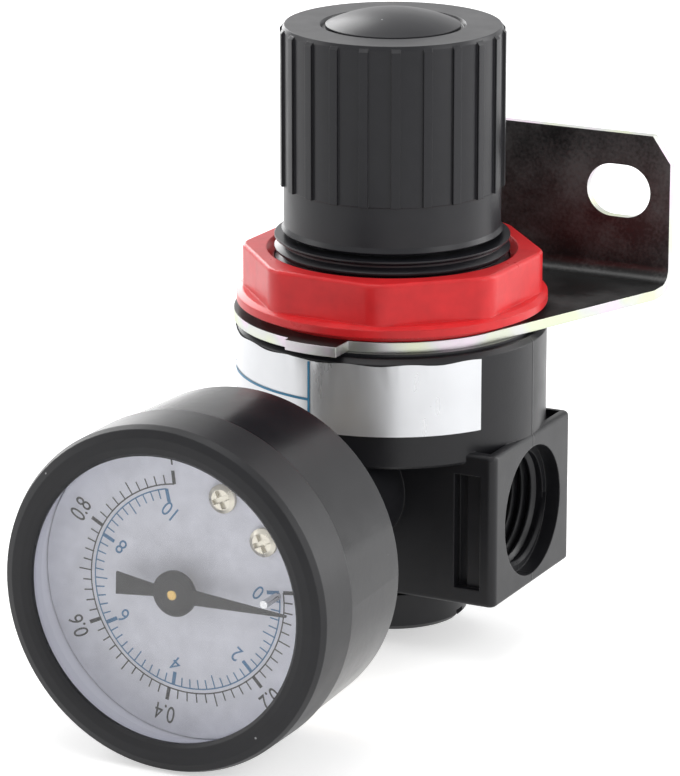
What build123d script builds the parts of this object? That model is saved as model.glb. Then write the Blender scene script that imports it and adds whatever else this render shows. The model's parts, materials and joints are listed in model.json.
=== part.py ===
from build123d import *
import os
from math import cos, pi, radians, sin

# Compressed-air pressure regulator with a push-lock knob, panel nut, angle bracket and dial gauge.
# Millimetres. While it is modelled, Z is the knob axis, X the port axis and -Y the gauge side,
# and z = 0 lies on the port axis. The last step moves the origin to the middle of the bracket's slots.

# Body: a round chamber on a rectangular port bar
body_r = 19.8
body_top_z = 22.9
body_edge = 0.6
chamber_bottom_z = 8.7
chamber_round = 0.4
port_face_x = 20.0
bar_width = 23.3
bar_top_z = 10.2
bar_bottom_z = -9.8
bar_round = 1.0
bar_top_round = 0.6
well_rim = 1.1
well_depth = 0.9

# Ports: G3/8 at both ends of the bar, with plain bores at the thread's minor diameter
port_r = 7.475
port_depth = 9.0
port_mouth_r = 8.45
port_mouth_depth = 2.0

# Relief pockets in the sides of the bar beside each port
pocket_end_gap = 2.0
pocket_length = 3.55
pocket_step_length = 1.4
pocket_depth = 0.9
pocket_step_depth = 1.7
pocket_height = 15.0
pocket_drop = 0.35

# Flow passages and the valve seat
passage_r = 2.6
inlet_passage_z = -3.8
outlet_passage_z = 3.9
seat_z = -0.6
seat_thickness = 1.6
orifice_r = 3.2
outlet_chamber_r = 4.6
outlet_chamber_top_z = 7.0
valve_chamber_r = 7.05
sensing_hole_r = 0.8
sensing_hole_x = 12.6

# Diaphragm chamber
chamber_floor_z = 11.0
ledge_z = 13.4
control_r = 14.0
thread_bore_r = 17.05
fit_gap = 0.05
slack = 0.15

# Gauge ports, front and rear, G1/8 with plain bores at the minor diameter
gauge_z = 3.6
gauge_port_r = 4.28
gauge_port_depth = 10.0
gauge_passage_r = 1.2
boss_r = 7.5
front_boss_y = 24.5
rear_boss_y = 16.0
rear_plug_length = 9.0
rear_hex_flats = 5.0
rear_hex_depth = 4.0

# Bonnet
bonnet_flange_r = 18.6
bonnet_flange_t = 0.4
neck_r = 15.0
neck_top_z = 34.2
neck_pitch = 1.5
neck_turns = 2
neck_thread_depth = 0.75
tower_r = 12.2
tower_top_z = 50.2
tower_wall_t = 2.2
spring_room_r = 11.0
plate_room_r = 14.4
plate_room_h = 3.2
guide_rib_w = 2.4
guide_rib_h = 1.2

# Knob
knob_gap = 0.5
knob_top_z = 61.2
knob_rib_r = 14.3
knob_wall_r = 13.95
knob_skirt_r = 13.8
knob_bead_r = 14.1
knob_bead_h = 0.9
knob_skirt_h = 6.1
knob_rib_count = 22
knob_rib_w = 1.15
knob_rib_turn_deg = 3.0
knob_edge = 0.5
knob_rim_r = 13.7
knob_roof_t = 2.6
knob_dome_r = 8.5
knob_dome_h = 1.9
knob_groove_w = 0.7
knob_groove_d = 0.5
knob_boss_r = 6.4
knob_boss_gap = 0.8

# Panel nut
nut_flats = 36.0
nut_corner_round = 4.0
nut_turn_deg = 20.0
nut_edge = 0.5
nut_height = 7.8
nut_flange_r = 19.85
nut_flange_t = 1.0
nut_foot_h = 1.1
nut_foot_r = 17.4
nut_shoulder_h = 0.4
nut_lip_r = 16.0

# Bracket: a steel angle with a round eye for the neck
plate_t = 1.3
plate_front_y = 26.0
plate_half_w = 27.2
plate_height = 20.5
plate_corner_x = 2.5
plate_corner_z = 3.5
bend_r = 1.9
eye_r = 15.4
eye_left_r = 20.2
eye_right_r = 17.75
tongue_r = 21.1
tongue_from_x = -4.8
tongue_to_x = 2.5
wing_y = 21.5
slot_edge_gap = 7.2
slot_w = 7.0
slot_length = 8.9
slot_rise = 12.8

# Label
label_t = 0.1
label_bottom_z = 13.0
label_top_z = 22.2
label_from_deg = -30.0
label_sweep_deg = -170.0

# Adjusting screw, thrust washer and spring seat
screw_r = 3.95
screw_length = 18.6
collar_r = 6.5
collar_t = 1.5
screw_neck_r = 4.25
hex_flats = 7.0
hex_length = 7.1
hex_foot_h = 0.2
washer_r = 7.6
washer_t = 0.8
seat_nut_gap = 3.1
seat_nut_t = 4.5
seat_nut_hub_h = 2.5
seat_nut_travel = 7.0
spring_hub_gap = 0.5

# Range spring
spring_mean_r = 8.1
spring_wire_r = 1.0
spring_turns = 6.5

# Diaphragm and its plates
diaphragm_t = 1.2
diaphragm_rise = 1.4
diaphragm_plate_t = 1.0
upper_plate_t = 1.2
lower_plate_r = 11.0
rivet_r = 2.4
rivet_hole_r = 1.0
rivet_head_r = 4.0
rivet_head_t = 0.7
rivet_clinch_r = 3.3
rivet_clinch_t = 0.8
plate_hub_wall = 1.5
plate_hub_h = 1.6

# Valve
stem_r = 1.5
poppet_r = 5.2
poppet_t = 1.8
seal_t = 0.98
seal_inner_r = 2.5
guide_r = 2.6
guide_length = 8.5
touch_gap = 0.02
valve_spring_mean_r = 4.0
valve_spring_wire_r = 0.4
valve_spring_turns = 5.0

# Bottom plug
plug_r = 9.83
plug_height = 6.15
plug_collar_r = 9.3
plug_collar_h = 1.4
plug_neck_h = 2.8
plug_pocket_r = 5.0
plug_pocket_depth = 3.5
plug_guide_depth = 3.1
plug_slot_w = 1.8
plug_slot_depth = 1.2
ring_wire_r = 0.55
ring_groove_h = 1.25

# Gauge, with reach measured forward from the knob axis
case_back_reach = 39.3
case_length = 14.85
bezel_length = 7.95
case_back_r = 20.6
case_seam_r = 21.1
case_wall = 0.9
case_back_t = 1.2
case_back_edge = 1.0
case_neck_r = 20.1
bezel_r = 21.4
bezel_round = 1.3
bezel_lip_r = 17.7
bezel_land_w = 1.2
lens_t = 1.0
lens_drop = 1.1
gasket_w = 1.4
gasket_t = 0.2
dial_drop = 6.0
dial_t = 0.5
socket_thread_r = 4.25
socket_thread_length = 9.6
socket_hex_flats = 12.0
socket_hex_length = 9.0
socket_shank_r = 4.6
socket_collar_r = 6.3
socket_block_w = 7.0
socket_block_t = 5.0
socket_bore_r = 1.2

# Gauge works
frame_gap_behind = 5.0
frame_gap = 5.4
frame_plate_t = 0.8
frame_plate_r = 10.6
pillar_r = 1.0
pillar_place_r = 8.4
pillar_angles = (-20.0, 60.0, 150.0)
arbor_r = 0.6
arbor_end_gap = 0.1
arm_root_r = 3.0
arm_tip_r = 2.2
post_r = 2.0
gear_module = 0.3
pinion_teeth = 8
sector_teeth = 50
sector_cut_teeth = 11
sector_t = 1.2
pinion_t = 2.0
gear_gap = 3.1
sector_place_deg = 240.0
sector_tail = 3.2
sector_hub_r = 2.0
link_pin_r = 0.4
link_t = 0.6
link_w = 1.6
link_gap = 0.1
tube_r = 15.5
tube_radial = 1.6
tube_axial = 6.0
tube_gap = 2.2
tube_from_deg = -77.0
tube_sweep_deg = 277.0

# Pointer, stop pin and dial screws
pointer_rest_deg = -2.0
pointer_sweep_deg = 270.0
pointer_tip = 14.9
pointer_tail = 7.8
pointer_tail_w = 2.8
pointer_waist_w = 1.5
pointer_root_w = 1.8
pointer_tip_w = 0.24
pointer_t = 0.3
pointer_gap = 3.0
pointer_hub_r = 2.8
pointer_hub_t = 1.0
stop_pin_r = 0.5
stop_pin_at = (12.1, 0.6)
stop_pin_length = 3.5
dial_screw_at = ((5.05, 11.7), (10.45, 7.1))
dial_screw_head_r = 1.75
dial_screw_head_t = 0.8
dial_screw_r = 0.8
dial_screw_cross_span = 2.3
dial_screw_cross_w = 0.6
dial_screw_cross_depth = 0.45
dial_screw_turn_deg = 25.0

# Heights that follow from the sizes above
plate_bottom_z = body_top_z + bonnet_flange_t
plate_top_z = plate_bottom_z + plate_t
slot_z = plate_bottom_z + slot_rise
slot_spacing = 2 * (plate_half_w - slot_edge_gap)
bonnet_bottom_z = ledge_z + diaphragm_t
knob_bottom_z = neck_top_z + knob_gap
nut_top_z = plate_top_z + nut_height
tower_ceiling_z = tower_top_z - tower_wall_t
collar_top_z = tower_ceiling_z - washer_t - 2 * fit_gap
collar_bottom_z = collar_top_z - collar_t
seat_nut_top_z = collar_bottom_z - seat_nut_gap
seat_nut_bottom_z = seat_nut_top_z - seat_nut_t
hub_bottom_z = ledge_z + diaphragm_rise
upper_plate_z = hub_bottom_z + diaphragm_t
spring_seat_z = upper_plate_z + upper_plate_t
lower_plate_z = hub_bottom_z - diaphragm_plate_t
rivet_bottom_z = lower_plate_z - rivet_head_t
poppet_top_z = seat_z - touch_gap - seal_t
poppet_bottom_z = poppet_top_z - poppet_t
plug_bottom_z = bar_bottom_z - plug_height
plug_neck_top_z = bar_bottom_z + plug_neck_h
plug_pocket_z = plug_neck_top_z - plug_pocket_depth
case_seam_reach = case_back_reach + case_length
bezel_front_reach = case_seam_reach + bezel_length
lens_reach = bezel_front_reach - lens_drop
dial_reach = lens_reach - dial_drop
pointer_reach = dial_reach + pointer_gap
dial_r = case_neck_r - case_wall - slack
tube_reach = case_back_reach + tube_gap
frame_back_reach = tube_reach + frame_gap_behind
frame_front_reach = frame_back_reach + frame_plate_t + frame_gap
gear_reach = frame_back_reach + gear_gap
spring_inner_r = spring_mean_r - spring_wire_r
spring_hub_r = spring_inner_r - spring_hub_gap
pinion_pitch_r = gear_module * pinion_teeth / 2
sector_pitch_r = gear_module * sector_teeth / 2


def turned(*points):
    """Solid of revolution about Z from a half section of (radius, height) points."""
    outline = Plane.XZ * Polyline(*points, close=True)
    return revolve(make_face(outline), Axis.Z)


def disc(radius, low, high, hole=0.0):
    """Round plate from one height to another, with a hole if one is given."""
    if hole > 0:
        return turned((hole, low), (radius, low), (radius, high), (hole, high))
    return turned((0, low), (radius, low), (radius, high), (0, high))


def block(x_span, y_span, z_span):
    """Box between three pairs of limits."""
    spans = (x_span, y_span, z_span)
    middle = [(low + high) / 2 for low, high in spans]
    size = [high - low for low, high in spans]
    return Pos(*middle) * Box(*size)


def hexagon(flats, low, high):
    """Hexagonal bar along Z."""
    return Pos(0, 0, low) * extrude(RegularPolygon(flats / 2, 6, major_radius=False), high - low)


def along_x(shape):
    """Turn a shape so that its Z axis points along +X."""
    return Rot(0, 90, 0) * shape


def to_front(shape):
    """Turn a shape built along Z so that Z becomes the reach towards the gauge side."""
    return Pos(0, 0, gauge_z) * Rot(90, 0, 0) * shape


def to_rear(shape):
    """The same, facing the wall side."""
    return Pos(0, 0, gauge_z) * Rot(-90, 0, 0) * shape


def coil(mean_r, wire_r, low, high, turns):
    """Open coil spring whose wire lies between two heights."""
    rise = high - low - 2 * wire_r
    path = Pos(0, 0, low + wire_r) * Helix(pitch=rise / turns, height=rise, radius=mean_r)
    section = Plane(origin=path @ 0, z_dir=path % 0) * Circle(wire_r)
    return sweep(section, path=path)


def make_body():
    """Die-cast body with its ports, passages, valve seat and diaphragm chamber."""
    chamber = turned(
        (0, chamber_bottom_z),
        (body_r - chamber_round, chamber_bottom_z),
        (body_r, chamber_bottom_z + chamber_round),
        (body_r, body_top_z - body_edge),
        (body_r - body_edge, body_top_z),
        (0, body_top_z),
    )
    half_w = bar_width / 2
    bar = block((-port_face_x, port_face_x), (-half_w, half_w), (bar_bottom_z, bar_top_z))
    bar = fillet(bar.edges().filter_by(Axis.Z), bar_round)
    low_edges = bar.faces().sort_by(Axis.Z)[0].edges()
    bar = fillet(low_edges, bar_round / 2)
    top_edges = bar.faces().sort_by(Axis.Z)[-1].edges()
    bar = fillet(top_edges, bar_top_round)
    well_x = port_face_x - well_rim
    well_y = half_w - well_rim
    well = block((-well_x, well_x), (-well_y, well_y), (bar_top_z - well_depth, bar_top_z))
    bar -= well - disc(body_r - bar_round, chamber_bottom_z, bar_top_z)
    solid = chamber + bar
    solid += to_front(disc(boss_r, 0, front_boss_y))
    solid += to_rear(disc(boss_r, 0, rear_boss_y))
    solid -= disc(thread_bore_r, ledge_z, body_top_z)
    solid -= disc(control_r, chamber_floor_z, ledge_z)
    solid -= disc(stem_r + fit_gap, seat_z, chamber_floor_z)
    solid -= disc(outlet_chamber_r, seat_z + seat_thickness, outlet_chamber_top_z)
    solid -= disc(orifice_r, seat_z, seat_z + seat_thickness)
    solid -= disc(valve_chamber_r, bar_bottom_z, seat_z)
    ring_seat_r = valve_chamber_r + 2 * ring_wire_r + slack
    solid -= disc(ring_seat_r, bar_bottom_z, bar_bottom_z + ring_groove_h)
    port_end_x = port_face_x - port_depth
    port = disc(port_r, port_end_x, port_face_x)
    port += disc(port_mouth_r, port_face_x - port_mouth_depth, port_face_x)
    solid -= along_x(port)
    solid -= Rot(0, 0, 180) * along_x(port)
    overlap = 1.0
    passage = disc(passage_r, 0, port_end_x + overlap - outlet_chamber_r / 2)
    solid -= Pos(outlet_chamber_r / 2, 0, outlet_passage_z) * along_x(passage)
    inlet = disc(passage_r, valve_chamber_r - overlap, port_end_x + overlap)
    solid -= Pos(0, 0, inlet_passage_z) * Rot(0, 0, 180) * along_x(inlet)
    sensing = disc(sensing_hole_r, port_r - overlap, chamber_floor_z)
    solid -= Pos(sensing_hole_x, 0, 0) * sensing
    gauge_port = disc(gauge_port_r, front_boss_y - gauge_port_depth, front_boss_y)
    gauge_port += disc(gauge_passage_r, outlet_chamber_r - overlap, front_boss_y)
    solid -= to_front(gauge_port)
    rear_port = disc(gauge_port_r, rear_boss_y - gauge_port_depth, rear_boss_y)
    rear_port += disc(gauge_passage_r, outlet_chamber_r - overlap, rear_boss_y)
    solid -= to_rear(rear_port)
    for side_x in (-1, 1):
        for side_y in (-1, 1):
            solid -= side_pocket(side_x, side_y)
    return solid


def side_pocket(side_x, side_y):
    """Stepped relief pocket in one side of the bar beside one port."""
    outer_x = port_face_x - pocket_end_gap
    inner_x = outer_x - pocket_length
    face_y = bar_width / 2
    middle_z = (bar_top_z + bar_bottom_z) / 2 - pocket_drop
    z_span = (middle_z - pocket_height / 2, middle_z + pocket_height / 2)
    shallow = block((inner_x, outer_x), (face_y - pocket_depth, face_y), z_span)
    step_x = inner_x + pocket_step_length
    deep = block((inner_x, step_x), (face_y - pocket_step_depth, face_y), z_span)
    pocket = shallow + deep
    if side_x < 0:
        pocket = mirror(pocket, about=Plane.YZ)
    if side_y < 0:
        pocket = mirror(pocket, about=Plane.XZ)
    return pocket


def make_bonnet():
    """Bonnet screwed into the body: clamps the diaphragm and carries the nut and the knob.

    The thread of its neck shows above the nut, and is cut there as rings.
    """
    skirt_r = thread_bore_r - fit_gap
    root_r = neck_r - neck_thread_depth
    turns = []
    for index in range(neck_turns):
        low_z = neck_top_z - (neck_turns - index) * neck_pitch
        turns.append((neck_r, low_z))
        turns.append((root_r, low_z + 0.4 * neck_pitch))
        turns.append((root_r, low_z + 0.55 * neck_pitch))
        turns.append((neck_r, low_z + 0.85 * neck_pitch))
    shell = turned(
        (plate_room_r, bonnet_bottom_z),
        (skirt_r, bonnet_bottom_z),
        (skirt_r, body_top_z),
        (bonnet_flange_r, body_top_z),
        (bonnet_flange_r, plate_bottom_z),
        (neck_r, plate_bottom_z),
        *turns,
        (neck_r, neck_top_z),
        (tower_r, neck_top_z),
        (tower_r, tower_top_z - 1),
        (tower_r - 1, tower_top_z),
        (screw_neck_r + fit_gap, tower_top_z),
        (screw_neck_r + fit_gap, tower_ceiling_z),
        (spring_room_r, tower_ceiling_z),
        (spring_room_r, bonnet_bottom_z + plate_room_h),
        (plate_room_r, bonnet_bottom_z + plate_room_h - 1),
    )
    inner_x = spring_room_r - guide_rib_h
    half = guide_rib_w / 2
    top_z = tower_ceiling_z
    rib_low_z = seat_nut_bottom_z - seat_nut_travel
    rib = block((inner_x, spring_room_r + guide_rib_h / 2), (-half, half), (rib_low_z, top_z))
    return shell + rib + Rot(0, 0, 180) * rib


def make_knob():
    """Knob with fine ribs, a plain skirt, a dished top and a hexagon socket for the screw."""
    bore_r = tower_r + slack
    skirt_top_z = knob_bottom_z + knob_skirt_h
    ceiling_z = knob_top_z - knob_roof_t
    groove_r = knob_dome_r + knob_groove_w
    floor_z = knob_top_z - knob_groove_d
    shell = turned(
        (bore_r, knob_bottom_z),
        (knob_bead_r - 0.3, knob_bottom_z),
        (knob_bead_r, knob_bottom_z + 0.3),
        (knob_skirt_r, knob_bottom_z + knob_bead_h),
        (knob_skirt_r, skirt_top_z),
        (knob_wall_r, skirt_top_z),
        (knob_wall_r, knob_top_z - knob_edge),
        (knob_rim_r, knob_top_z),
        (groove_r, knob_top_z),
        (groove_r - 0.3, floor_z),
        (0, floor_z),
        (0, ceiling_z),
        (bore_r, ceiling_z),
    )
    dome_top_z = knob_top_z + knob_dome_h
    dome_ball_r = (knob_dome_r**2 + knob_dome_h**2) / (2 * knob_dome_h)
    dome = Pos(0, 0, dome_top_z - dome_ball_r) * Sphere(dome_ball_r)
    shell += dome & disc(knob_dome_r, floor_z, dome_top_z)
    ring = turned(
        (knob_wall_r - 0.2, skirt_top_z),
        (knob_rib_r, skirt_top_z),
        (knob_rib_r, knob_top_z - knob_edge * 1.5),
        (knob_wall_r, knob_top_z - knob_edge * 0.7),
        (knob_wall_r - 0.2, knob_top_z - knob_edge * 0.7),
    )
    half = knob_rib_w / 2
    bars = [
        Rot(0, 0, knob_rib_turn_deg + 360 * index / knob_rib_count)
        * block((knob_skirt_r - 1, knob_rib_r + 1), (-half, half), (skirt_top_z, knob_top_z))
        for index in range(knob_rib_count)
    ]
    ribs = ring & Compound(children=bars)
    boss_low_z = tower_top_z + knob_boss_gap
    boss = disc(knob_boss_r, boss_low_z, ceiling_z + 0.5)
    boss -= hexagon(hex_flats + 2 * fit_gap, boss_low_z, ceiling_z - 0.2)
    knob = shell + boss
    for rib in ribs.solids():
        knob += rib
    return knob


def make_panel_nut():
    """Octagonal panel nut on a round flange and a narrower foot."""
    octagon = RegularPolygon(nut_flats / 2, 8, major_radius=False, rotation=nut_turn_deg)
    octagon = fillet(octagon.vertices(), nut_corner_round)
    head_z = plate_top_z + nut_foot_h + nut_flange_t
    head = Pos(0, 0, head_z) * extrude(octagon, nut_top_z - head_z)
    nut = fillet(head.faces().sort_by(Axis.Z)[-1].edges(), nut_edge)
    nut += turned(
        (0, plate_top_z),
        (nut_foot_r, plate_top_z),
        (nut_foot_r, plate_top_z + nut_foot_h),
        (nut_flange_r, plate_top_z + nut_foot_h),
        (nut_flange_r, head_z),
        (nut_flange_r - 0.8, head_z + nut_shoulder_h),
        (0, head_z + nut_shoulder_h),
    )
    nut -= disc(neck_r + fit_gap, plate_top_z, nut_top_z)
    nut -= turned(
        (0, nut_top_z - 1),
        (neck_r + fit_gap, nut_top_z - 1),
        (nut_lip_r, nut_top_z),
        (0, nut_top_z),
    )
    return nut


def bracket_outline():
    """Flat outline of the bracket's level leg, seen from above."""
    far = 2 * plate_half_w
    left_half = Pos(tongue_to_x - far, 0) * Rectangle(2 * far, 2 * far)
    tongue_zone = Pos((tongue_from_x + tongue_to_x) / 2, -far / 2) * Rectangle(
        tongue_to_x - tongue_from_x, far
    )
    eye = Circle(eye_right_r) + (Circle(eye_left_r) & left_half)
    eye += Circle(tongue_r) & tongue_zone
    bend_y = plate_front_y - bend_r
    wings = Polyline(
        (eye_right_r * cos(radians(-17)), eye_right_r * sin(radians(-17))),
        (plate_half_w, wing_y),
        (plate_half_w, bend_y),
        (-plate_half_w, bend_y),
        (-plate_half_w, wing_y),
        (eye_left_r * cos(radians(187)), eye_left_r * sin(radians(187))),
        close=True,
    )
    return eye + make_face(wings) - Circle(eye_r)


def make_bracket():
    """Angle bracket bent from sheet: level leg with the eye, upright leg with two slots."""
    leg = Pos(0, 0, plate_bottom_z) * extrude(bracket_outline(), plate_t)
    outer_bend = bend_r + plate_t
    bend_y = plate_front_y - bend_r
    bend_z = plate_bottom_z + outer_bend
    quarter = Circle(outer_bend) - Circle(bend_r)
    quarter &= Pos(outer_bend, -outer_bend) * Rectangle(2 * outer_bend, 2 * outer_bend)
    profile = Plane(origin=(-plate_half_w, bend_y, bend_z), x_dir=(0, 1, 0), z_dir=(1, 0, 0)) * quarter
    bend = extrude(profile, amount=2 * plate_half_w, dir=(1, 0, 0))
    top_z = plate_bottom_z + plate_height
    upright = Polyline(
        (-plate_half_w, bend_z),
        (plate_half_w, bend_z),
        (plate_half_w, top_z - plate_corner_z),
        (plate_half_w - plate_corner_x, top_z),
        (-plate_half_w + plate_corner_x, top_z),
        (-plate_half_w, top_z - plate_corner_z),
        close=True,
    )
    face = make_face(upright)
    for side in (-1, 1):
        face -= Pos(side * slot_spacing / 2, slot_z) * SlotOverall(slot_length, slot_w)
    wall = extrude(Plane.XZ * face, amount=plate_t)
    wall = Pos(0, plate_front_y + plate_t, 0) * wall
    return leg + bend + wall


def make_label():
    """Foil label wrapped round the chamber."""
    section = Plane.XZ * Pos(body_r + label_t / 2, (label_top_z + label_bottom_z) / 2) * Rectangle(
        label_t, label_top_z - label_bottom_z
    )
    start = Rot(0, 0, label_from_deg + label_sweep_deg) * section
    return revolve(start, Axis.Z, revolution_arc=-label_sweep_deg)


def make_adjusting_screw():
    """Screw with a collar under the bonnet's roof and a hexagon that slides in the knob."""
    screw = disc(screw_r, collar_bottom_z - screw_length, collar_bottom_z)
    screw += disc(collar_r, collar_bottom_z, collar_top_z)
    hex_low_z = tower_top_z + hex_foot_h
    screw += disc(screw_neck_r, collar_top_z, hex_low_z)
    screw += hexagon(hex_flats, hex_low_z, hex_low_z + hex_length)
    return screw


def make_thrust_washer():
    """Brass washer between the screw's collar and the bonnet's roof."""
    low_z = collar_top_z + fit_gap
    return disc(washer_r, low_z, low_z + washer_t, screw_neck_r + fit_gap)


def make_spring_seat_nut():
    """Nut that the screw drives down, kept from turning by two ribs in the bonnet."""
    nut = disc(spring_room_r - 2 * slack, seat_nut_bottom_z, seat_nut_top_z)
    nut += disc(spring_hub_r, seat_nut_bottom_z - seat_nut_hub_h, seat_nut_bottom_z)
    nut -= disc(screw_r + fit_gap, seat_nut_bottom_z - seat_nut_hub_h, seat_nut_top_z)
    half = guide_rib_w / 2 + slack
    inner_x = spring_room_r - guide_rib_h - slack
    notch = block((inner_x, spring_room_r), (-half, half), (seat_nut_bottom_z, seat_nut_top_z))
    return nut - notch - Rot(0, 0, 180) * notch


def make_diaphragm():
    """Rubber diaphragm: clamped rim, one slope and a raised middle."""
    rim_r = thread_bore_r - slack
    slope_out = plate_room_r - 0.4
    slope_in = spring_room_r + 0.8
    hole_r = rivet_r + fit_gap
    return turned(
        (hole_r, hub_bottom_z),
        (slope_in, hub_bottom_z),
        (slope_out, ledge_z),
        (rim_r, ledge_z),
        (rim_r, ledge_z + diaphragm_t),
        (slope_out, ledge_z + diaphragm_t),
        (slope_in, upper_plate_z),
        (hole_r, upper_plate_z),
    )


def make_upper_plate():
    """Plate over the diaphragm, with a ring that centres the range spring."""
    plate = disc(spring_room_r - 2 * slack, upper_plate_z, spring_seat_z, rivet_r + fit_gap)
    top_z = spring_seat_z + plate_hub_h
    return plate + disc(spring_hub_r, spring_seat_z, top_z, spring_hub_r - plate_hub_wall)


def make_lower_plate():
    """Plate under the diaphragm."""
    return disc(lower_plate_r, lower_plate_z, hub_bottom_z, rivet_r + fit_gap)


def make_relief_seat():
    """Hollow rivet that holds the plates together and vents past the stem's tip."""
    rivet = disc(rivet_head_r, rivet_bottom_z, lower_plate_z)
    rivet += disc(rivet_r, lower_plate_z, spring_seat_z)
    rivet += disc(rivet_clinch_r, spring_seat_z, spring_seat_z + rivet_clinch_t)
    return rivet - disc(rivet_hole_r, rivet_bottom_z, spring_seat_z + rivet_clinch_t)


def make_valve_stem():
    """Brass stem with the poppet disc and the lower guide in one piece."""
    tip_z = rivet_bottom_z - touch_gap
    return turned(
        (0, poppet_bottom_z - guide_length),
        (guide_r, poppet_bottom_z - guide_length),
        (guide_r, poppet_bottom_z),
        (poppet_r, poppet_bottom_z),
        (poppet_r, poppet_top_z),
        (seal_inner_r, poppet_top_z),
        (seal_inner_r, poppet_top_z + seal_t),
        (stem_r, poppet_top_z + seal_t),
        (stem_r, tip_z - 0.8),
        (rivet_hole_r / 2, tip_z),
        (0, tip_z),
    )


def make_poppet_seal():
    """Rubber ring that closes on the seat."""
    return disc(poppet_r - 0.2, poppet_top_z, poppet_top_z + seal_t, seal_inner_r)


def make_bottom_plug():
    """Plug that closes the valve chamber, holds the valve spring and guides the stem."""
    plug = turned(
        (0, plug_bottom_z),
        (plug_r - 0.6, plug_bottom_z),
        (plug_r, plug_bottom_z + 0.6),
        (plug_r, bar_bottom_z - plug_collar_h),
        (plug_collar_r, bar_bottom_z - plug_collar_h + 0.3),
        (plug_collar_r, bar_bottom_z),
        (valve_chamber_r - fit_gap, bar_bottom_z),
        (valve_chamber_r - fit_gap, plug_neck_top_z),
        (plug_pocket_r, plug_neck_top_z),
        (plug_pocket_r, plug_pocket_z),
        (guide_r + fit_gap, plug_pocket_z),
        (guide_r + fit_gap, plug_pocket_z - plug_guide_depth),
        (0, plug_pocket_z - plug_guide_depth),
    )
    half = plug_slot_w / 2
    return plug - block((-plug_r, plug_r), (-half, half), (plug_bottom_z, plug_bottom_z + plug_slot_depth))


def make_plug_ring():
    """O-ring round the plug's neck."""
    ring_r = valve_chamber_r + ring_wire_r + fit_gap
    return Pos(0, 0, bar_bottom_z + ring_wire_r + fit_gap) * Torus(ring_r, ring_wire_r)


def make_rear_plug():
    """Threaded plug with a hexagon socket in the rear gauge port."""
    plug = disc(gauge_port_r - fit_gap / 2, rear_boss_y - rear_plug_length, rear_boss_y)
    return to_rear(plug - hexagon(rear_hex_flats, rear_boss_y - rear_hex_depth, rear_boss_y))


def make_gauge_socket():
    """Brass socket: thread in the boss, hexagon, collar, and the block that feeds the tube."""
    thread_end = front_boss_y - socket_thread_length
    hex_start = front_boss_y + 0.3
    hex_end = hex_start + socket_hex_length
    block_end = frame_back_reach - 0.5
    solid = disc(socket_thread_r, thread_end, hex_start)
    solid += hexagon(socket_hex_flats, hex_start, hex_end)
    solid += disc(socket_collar_r, hex_end, case_back_reach)
    solid += disc(socket_shank_r, case_back_reach, case_back_reach + case_back_t)
    half = socket_block_w / 2
    low = -tube_r - tube_radial / 2
    start = case_back_reach + case_back_t
    solid += block((-half, half), (low, socket_shank_r), (start, block_end))
    solid += disc(socket_shank_r, block_end, frame_back_reach)
    solid -= disc(socket_bore_r, thread_end, start + socket_block_t / 2)
    solid -= tube_ring(slack)
    return to_front(solid)


def tube_ring(gap=0.0):
    """Flat-oval tube bent round the works, grown by a gap when it cuts its seat."""
    section = Pos(tube_r, tube_reach + tube_axial / 2) * Rectangle(
        tube_radial + 2 * gap, tube_axial + 2 * gap
    )
    if gap == 0.0:
        section = fillet(section.vertices(), tube_radial * 0.45)
    start = Rot(0, 0, tube_from_deg) * (Plane.XZ * section)
    return revolve(start, Axis.Z, revolution_arc=tube_sweep_deg)


def make_gauge_case():
    """Painted steel cup."""
    inner_r = case_neck_r - case_wall
    inner_back = case_back_reach + case_back_t
    front = lens_reach - lens_t - gasket_t
    hole_r = socket_shank_r + fit_gap
    return to_front(
        turned(
            (hole_r, case_back_reach),
            (case_back_r - case_back_edge, case_back_reach),
            (case_back_r, case_back_reach + case_back_edge),
            (case_seam_r, case_seam_reach),
            (case_neck_r, case_seam_reach),
            (case_neck_r, front),
            (inner_r, front),
            (inner_r, inner_back),
            (hole_r, inner_back),
        )
    )


def make_bezel():
    """Ring that holds the lens on the case."""
    inner_r = case_neck_r + fit_gap
    return to_front(
        turned(
            (inner_r, case_seam_reach),
            (bezel_r, case_seam_reach),
            (bezel_r, bezel_front_reach - bezel_round),
            (bezel_r - bezel_round * 0.3, bezel_front_reach - bezel_round * 0.3),
            (bezel_r - bezel_round, bezel_front_reach),
            (bezel_lip_r + bezel_land_w, bezel_front_reach),
            (bezel_lip_r + 0.4, bezel_front_reach - 0.2),
            (bezel_lip_r, bezel_front_reach - 0.6),
            (bezel_lip_r, lens_reach),
            (inner_r, lens_reach),
        )
    )


def make_lens():
    """Clear lens behind the bezel's lip."""
    return to_front(disc(case_neck_r - fit_gap, lens_reach - lens_t, lens_reach))


def make_lens_gasket():
    """Thin ring between the case's edge and the lens."""
    high = lens_reach - lens_t
    outer_r = case_neck_r - fit_gap
    return to_front(disc(outer_r, high - gasket_t, high, outer_r - gasket_w))


def make_dial():
    """Dial plate with holes for the arbor and its two screws."""
    plate = disc(dial_r, dial_reach - dial_t, dial_reach, arbor_r + 0.4)
    for x, y in dial_screw_at:
        plate -= Pos(x, y, 0) * disc(dial_screw_r + fit_gap, dial_reach - dial_t, dial_reach)
    return to_front(plate)


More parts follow.
